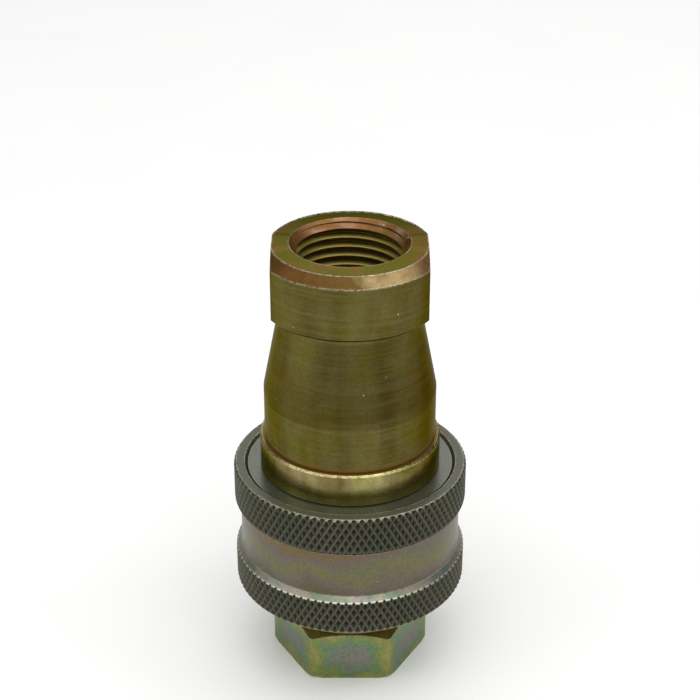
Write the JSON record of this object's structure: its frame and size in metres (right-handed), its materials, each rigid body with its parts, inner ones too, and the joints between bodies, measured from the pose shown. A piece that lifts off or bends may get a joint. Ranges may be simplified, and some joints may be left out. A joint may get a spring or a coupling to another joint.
{
  "type": "quick disconnect coupler",
  "caption": "Hydraulic quick disconnect coupling, connected: threaded coupler with a knurled pull-back sleeve over a hexagonal nipple, with poppet valves and locking balls.",
  "frame": {"origin": "centre of the nipple's end face, on the coupling's axis", "axes": "+Z along the axis from the nipple's port to the coupler's port; the coupler's two wrench flats face +X and -X; a hexagon face faces -Y"},
  "size_m": [0.0448, 0.0448, 0.0883],
  "materials": {
    "adapter_plating": "yellow zinc chromate on turned steel",
    "body_plating": "yellow zinc chromate, brighter gold",
    "nipple_plating": "yellow-green zinc chromate, iridescent",
    "sleeve_plating": "grey-olive zinc chromate, knurled",
    "valve_plating": "zinc chromate on turned steel",
    "washer_steel": "pale plain steel",
    "spring_steel": "drawn spring wire",
    "ring_steel": "dark spring steel",
    "ball_steel": "polished bearing steel",
    "seal_rubber": "black nitrile",
    "backup_plastic": "white PTFE"
  },
  "bodies": {
    "nipple": {"nipple_body": "nipple_plating", "nipple_valve_guide": "spring_steel", "nipple_guide_ring": "ring_steel", "nipple_valve_spring": "spring_steel"},
    "nipple_valve": {"nipple_poppet": "valve_plating", "nipple_poppet_seal": "seal_rubber"},
    "interface_seal": {"interface_o_ring": "seal_rubber"},
    "coupler": {"coupler_adapter": "adapter_plating", "coupler_body": "body_plating", "body_seal": "seal_rubber", "backup_ring": "backup_plastic", "spring_washer": "washer_steel", "sleeve_snap_ring": "ring_steel", "coupler_valve_guide": "spring_steel", "coupler_guide_ring": "ring_steel", "coupler_valve_spring": "spring_steel"},
    "coupler_valve": {"coupler_poppet": "valve_plating", "coupler_poppet_seal": "seal_rubber"},
    "sleeve_return": {"sleeve_spring": "spring_steel"},
    "sleeve": {"sleeve": "sleeve_plating"},
    "ball_1": {"ball_1": "ball_steel"},
    "ball_2": {"ball_2": "ball_steel"},
    "ball_3": {"ball_3": "ball_steel"},
    "ball_4": {"ball_4": "ball_steel"},
    "ball_5": {"ball_5": "ball_steel"},
    "ball_6": {"ball_6": "ball_steel"},
    "ball_7": {"ball_7": "ball_steel"},
    "ball_8": {"ball_8": "ball_steel"}
  },
  "joints": [
    {"name": "plug_insertion", "type": "slide", "parent": "nipple", "child": "interface_seal", "axis": [0, 0, -1], "range_m": [-0.07, 0]},
    {"name": "coupler_swivel", "type": "hinge", "parent": "interface_seal", "child": "coupler", "pos_m": [0, 0, 0.0401], "axis": [0, 0, 1], "continuous": true},
    {"name": "nipple_valve_slide", "type": "slide", "parent": "nipple", "child": "nipple_valve", "axis": [0, 0, 1], "range_m": [0, 0.0038], "deforming": ["nipple_valve_spring"]},
    {"name": "coupler_valve_slide", "type": "slide", "parent": "coupler", "child": "coupler_valve", "axis": [0, 0, -1], "range_m": [0, 0.0038], "deforming": ["coupler_valve_spring"]},
    {"name": "sleeve_slide", "type": "slide", "parent": "coupler", "child": "sleeve_return", "axis": [0, 0, 1], "range_m": [0, 0.0055], "deforming": ["sleeve_spring"]},
    {"name": "sleeve_turn", "type": "hinge", "parent": "sleeve_return", "child": "sleeve", "pos_m": [0, 0, 0.03], "axis": [0, 0, 1], "continuous": true},
    {"name": "ball_1_slide", "type": "slide", "parent": "coupler", "child": "ball_1", "axis": [1, 0, 0], "range_m": [0, 0.00125]},
    {"name": "ball_2_slide", "type": "slide", "parent": "coupler", "child": "ball_2", "axis": [0.7071, 0.7071, 0], "range_m": [0, 0.00125]},
    {"name": "ball_3_slide", "type": "slide", "parent": "coupler", "child": "ball_3", "axis": [0, 1, 0], "range_m": [0, 0.00125]},
    {"name": "ball_4_slide", "type": "slide", "parent": "coupler", "child": "ball_4", "axis": [-0.7071, 0.7071, 0], "range_m": [0, 0.00125]},
    {"name": "ball_5_slide", "type": "slide", "parent": "coupler", "child": "ball_5", "axis": [-1, 0, 0], "range_m": [0, 0.00125]},
    {"name": "ball_6_slide", "type": "slide", "parent": "coupler", "child": "ball_6", "axis": [-0.7071, -0.7071, 0], "range_m": [0, 0.00125]},
    {"name": "ball_7_slide", "type": "slide", "parent": "coupler", "child": "ball_7", "axis": [0, -1, 0], "range_m": [0, 0.00125]},
    {"name": "ball_8_slide", "type": "slide", "parent": "coupler", "child": "ball_8", "axis": [0.7071, -0.7071, 0], "range_m": [0, 0.00125]}
  ],
  "couplings": [
    {"joint": "nipple_valve_slide", "follows": "plug_insertion", "ratio": -0.054},
    {"joint": "coupler_valve_slide", "follows": "plug_insertion", "ratio": -0.054},
    {"joint": "ball_1_slide", "follows": "sleeve_slide", "ratio": 0.22727},
    {"joint": "ball_2_slide", "follows": "sleeve_slide", "ratio": 0.22727},
    {"joint": "ball_3_slide", "follows": "sleeve_slide", "ratio": 0.22727},
    {"joint": "ball_4_slide", "follows": "sleeve_slide", "ratio": 0.22727},
    {"joint": "ball_5_slide", "follows": "sleeve_slide", "ratio": 0.22727},
    {"joint": "ball_6_slide", "follows": "sleeve_slide", "ratio": 0.22727},
    {"joint": "ball_7_slide", "follows": "sleeve_slide", "ratio": 0.22727},
    {"joint": "ball_8_slide", "follows": "sleeve_slide", "ratio": 0.22727}
  ]
}
